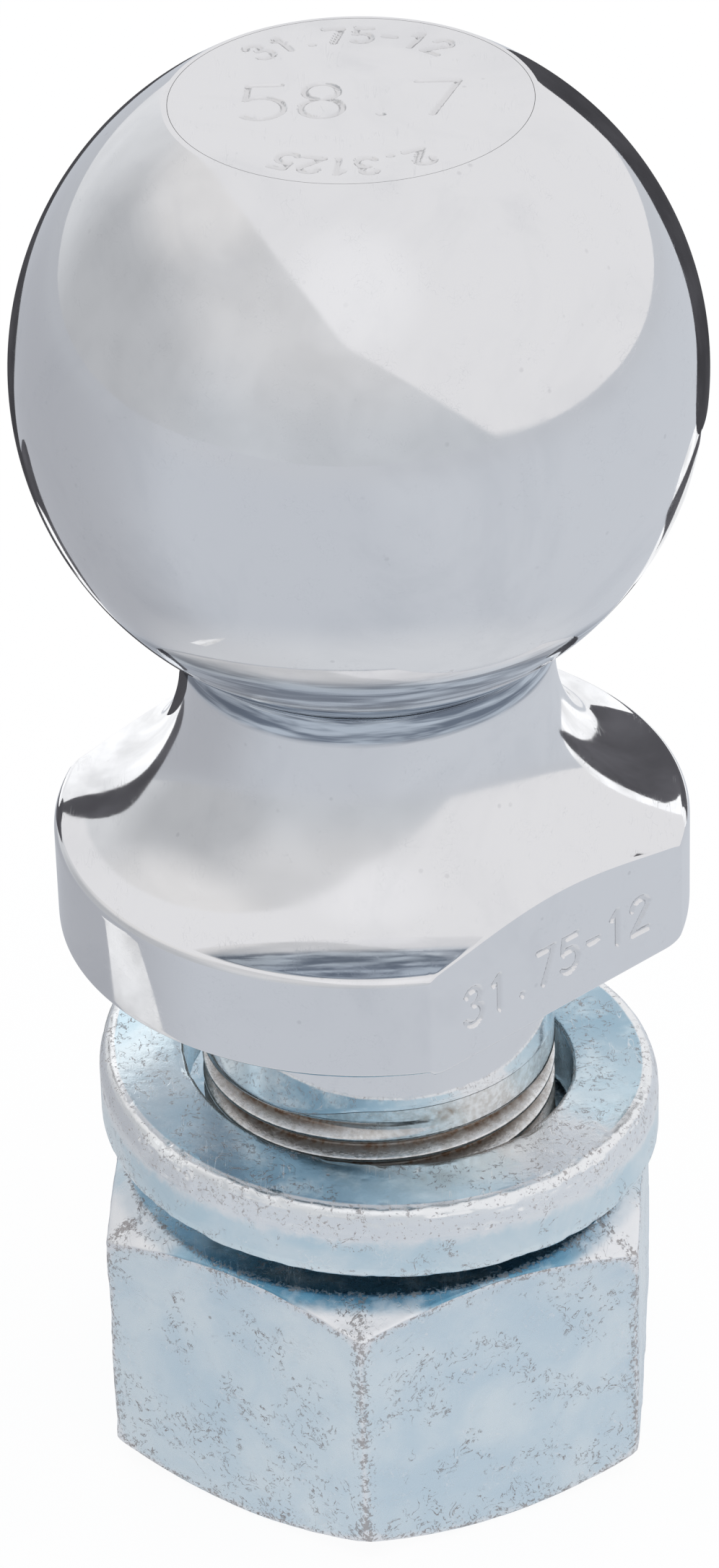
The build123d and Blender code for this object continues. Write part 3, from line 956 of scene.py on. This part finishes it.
def build_floor():
    """A plain floor that the camera sees white, and that the metal reflects greyer, more so at the left."""
    mesh = bpy.data.meshes.new("floor")
    size = 2.5
    z = NUT_BOTTOM * MM
    corners = [(-size, -size, z), (size, -size, z), (size, size, z), (-size, size, z)]
    mesh.from_pydata(corners, [], [(0, 1, 2, 3)])
    floor = bpy.data.objects.new("floor", mesh)
    bpy.context.scene.collection.objects.link(floor)

    material, n = new_material("pale_floor")
    place = n.add("ShaderNodeTexCoord").outputs["Object"]
    x = n.add("ShaderNodeSeparateXYZ", Vector=place).outputs["X"]
    distance = n.add("ShaderNodeVectorMath", {"operation": "LENGTH"}, i0=place).outputs["Value"]
    toward = n.add("ShaderNodeVectorMath", {"operation": "NORMALIZE"}, i0=place).outputs[0]
    left = n.dot(toward, direction_vector(-115, 0))
    tone = n.mix(n.ramp(x, -0.02, 0.12), (0.535, 0.567, 0.617, 1), (0.58, 0.612, 0.66, 1))
    tone = n.mix(n.ramp(left, 0.5, 1.05), tone, (0.375, 0.39, 0.425, 1))
    horizon = n.mix(n.ramp(left, 0.45, 1.05), (0.55, 0.575, 0.615, 1), (0.43, 0.45, 0.485, 1))
    tone = n.mix(n.ramp(distance, 0.25, 1.3), tone, horizon)
    near = n.mix(n.ramp(left, -0.2, 0.9), (0.67, 0.69, 0.72, 1), (0.61, 0.625, 0.65, 1))
    tone = n.mix(n.ramp(distance, 0.045, 0.085, 1.0, 0.0), tone, near)
    reflected = n.glowing_matte(tone, 0.85, (0.15, 0.15, 0.155, 1))
    seen = n.glowing_matte((1, 1, 1, 1), 0.90, (0.13, 0.13, 0.13, 1))
    n.add("ShaderNodeOutputMaterial", Surface=n.camera_sees(seen, reflected))
    mesh.materials.append(material)
    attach(floor, "hex_nut")


def build_world():
    """A pale studio: one very large soft light over the top and the right, and a darker left."""
    world = bpy.data.worlds.new("studio")
    bpy.context.scene.world = world
    world.use_nodes = True
    n = Nodes(world.node_tree)
    way = n.add("ShaderNodeTexCoord").outputs["Generated"]
    parts = n.add("ShaderNodeSeparateXYZ", Vector=way).outputs
    y, up = parts["Y"], parts["Z"]
    base = n.mix(n.ramp(up, 0.0, 0.6), (0.580, 0.603, 0.636, 1), (0.670, 0.672, 0.685, 1))
    dim = n.dot(way, direction_vector(-98, 4))
    base = n.mix(n.ramp(dim, 0.62, 1.0), base, (0.485, 0.495, 0.515, 1))
    base = n.mix(n.ramp(y, 0.45, 0.95), base, (0.76, 0.77, 0.79, 1))
    haze = n.dot(way, direction_vector(-116, 56))
    base = n.mix(n.ramp(haze, 0.84, 1.0), base, (0.80, 0.79, 0.79, 1))
    cloud = n.ramp(n.noise(way, 2.4, 3.0, 0.5, 0.4), 0.30, 0.70, 0.95, 1.05)
    base = n.add("ShaderNodeVectorMath", {"operation": "SCALE"}, i0=base, Scale=cloud).outputs[0]

    # the light's outline, as planes through pairs of neighbouring directions
    inside = direction_vector(70, 60)
    corners = ((-125, 44), (-33, 53), (-8, 37), (42, 0), (124, -8))
    sides = []
    for first, second in zip(corners, corners[1:]):
        edge = direction_vector(*first).cross(direction_vector(*second)).normalized()
        edge = edge if edge.dot(inside) > 0 else -edge
        sides.append(n.dot(way, edge))

    # the first side is crisp in front of the part and fades out behind it
    crisp = n.ramp(sides[0], -0.02, 0.03)
    faded = n.ramp(sides[0], -0.34, 0.12)
    behind = n.ramp(y, 0.10, 0.50)
    mask = n.add("ShaderNodeMix", {"data_type": "FLOAT"}, i0=behind, i2=crisp, i3=faded).outputs[0]
    for side, width in zip(sides[1:], (0.02, 0.015, 0.03)):
        mask = n.times(mask, n.ramp(side, -width, width))
    colour = n.mix(mask, base, (0.822, 0.818, 0.832, 1))
    glow = n.dot(way, direction_vector(-1, 54))
    strength = n.ramp(glow, 0.90, 1.0, 1.0, 1.08)
    reflected = n.add("ShaderNodeBackground", Color=colour, Strength=strength).outputs[0]
    seen = n.add("ShaderNodeBackground", Color=(1, 1, 1, 1), Strength=1.0).outputs[0]
    n.add("ShaderNodeOutputWorld", Surface=n.camera_sees(seen, reflected))


def rounded(outline):
    """A closed outline whose corners are cut twice, which rounds them."""
    for _ in range(2):
        after = np.roll(outline, -1, axis=0)
        outline = np.stack([0.75 * outline + 0.25 * after, 0.25 * outline + 0.75 * after], axis=1)
        outline = outline.reshape(-1, 2)
    return outline


def build_card(name, corners, tone):
    """A card in millimetres that only shows as a reflection in the polished metal."""
    mesh = bpy.data.meshes.new(name)
    mesh.from_pydata([(x * MM, y * MM, z * MM) for x, y, z in corners], [], [tuple(range(len(corners)))])
    card = bpy.data.objects.new(name, mesh)
    bpy.context.scene.collection.objects.link(card)
    material, n = new_material(name)
    place = n.add("ShaderNodeTexCoord").outputs["Object"]
    cloud = n.ramp(n.noise(place, 90.0, 4.0), 0.3, 0.7, tone * 0.78, tone * 1.2)
    tint = (0.91, 0.90, 1.0, 1) if tone < 0.5 else (0.98, 0.985, 1.0, 1)
    glow = n.add("ShaderNodeEmission", Color=tint, Strength=cloud)
    n.add("ShaderNodeOutputMaterial", Surface=glow.outputs[0])
    mesh.materials.append(material)
    card.visible_camera = False
    card.visible_diffuse = False
    card.visible_shadow = False
    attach(card, "ball_stud")


def rim_strip():
    """A thin strip that the camera would see just outside the ball's lower left outline."""
    strip_y, gap, width = 2, 0.15, 0.2
    # the camera's upward direction has these Y and Z parts, and its sight falls this much per millimetre
    up_y, up_z, fall = 0.545, 0.84, 0.649
    inner = [(turn, 0) for turn in range(184, 239, 3)]
    outer = [(turn, width) for turn in range(238, 183, -3)]
    outline = []
    for turn, spread in inner + outer:
        a = radians(turn)
        r = BALL_R + gap + spread * (strip_y - up_y * BALL_R * sin(a)) / up_z
        z = BALL_Z + up_z * r * sin(a) - (strip_y - up_y * r * sin(a)) * fall
        outline.append((r * cos(a), strip_y, z))
    return outline


def build_cards():
    """Charcoal and white cards close to the part, which draw the chrome's dark and white edges."""
    dark, white = 0.075, 1.08

    # flat cards behind the part: each has its own Y, its tone and its outline in X and Z
    cards = {
        "dark_card_ball_right": (15, dark, [
            (12, 130), (18, 133), (25, 130), (33, 122), (38.5, 116.5), (43.5, 105), (49, 91),
            (42, 86.5), (33, 91), (29, 95), (29, 106), (20, 123),
        ]),
        "dark_card_ball_left": (15, dark, [
            (-12, 130), (-22, 125.5), (-32, 114), (-40.5, 104), (-40, 95), (-35, 82),
            (-32, 73), (-29.5, 74), (-29, 105), (-24, 117), (-12, 127),
        ]),
        "dark_card_flare_right": (30, 0.115, [
            (20.5, 58.3), (42.5, 81.5), (47, 77), (52, 70), (57.5, 60), (57.5, 56.5),
            (50, 58.5), (40, 62.5), (30, 60.5),
        ]),
        "dark_card_flare_left": (30, 0.105, [
            (-39, 79), (-58, 79.5), (-54, 66), (-50, 60), (-46, 54.5), (-36, 54), (-35.5, 56.6),
            (-38.5, 57.6), (-43, 61.5), (-45.5, 66.5), (-42, 71), (-39, 73.5),
        ]),
        "white_card_ball": (15.5, white, [(26, 92), (36, 89), (38, 80), (34, 74.5), (30, 71), (26, 72)]),
        "white_card_right": (32, white, [(17, 56), (17, 72), (36, 88), (50, 82), (64, 68), (62, 56)]),
        "white_card_left": (32, white, [(-17, 54), (-17, 68), (-36, 82), (-44, 79), (-50, 70), (-49, 55)]),
    }
    for name, (y, tone, corners) in cards.items():
        build_card(name, [(x, y, z) for x, z in rounded(np.array(corners)).tolist()], tone)

    # a low card at the left, edge-on to the ball, that puts a bright stripe on the flange's rim
    stripe = ((-41.6, -26, 31.3), (-41.6, -10, 31.3), (-32.3, -11, 56.3), (-32.3, -16.4, 56.3))
    build_card("stripe_card", stripe, 0.80)
    build_card("dark_card_rim", rim_strip(), dark)


def build_camera():
    """The camera that was fitted to the photo, with angles in radians and its place in metres."""
    pan, tilt, roll = -0.0022, 0.5721, -0.0305
    place = Vector((0, -0.4544, 0.3577))
    ahead = Vector((sin(pan) * cos(tilt), cos(pan) * cos(tilt), -sin(tilt)))
    right = ahead.cross(Vector((0, 0, 1))).normalized()
    up = right.cross(ahead)
    right, up = cos(roll) * right + sin(roll) * up, -sin(roll) * right + cos(roll) * up
    data = bpy.data.cameras.new("camera")
    data.sensor_width = 36
    data.lens = 142.31
    data.clip_start = 0.01
    camera = bpy.data.objects.new("camera", data)
    bpy.context.scene.collection.objects.link(camera)
    camera.matrix_world = Matrix((
        (right.x, up.x, -ahead.x, place.x),
        (right.y, up.y, -ahead.y, place.y),
        (right.z, up.z, -ahead.z, place.z),
        (0, 0, 0, 1),
    ))
    bpy.context.scene.camera = camera


build_floor()
build_world()
build_cards()
build_camera()
bpy.context.scene.view_settings.view_transform = "Standard"
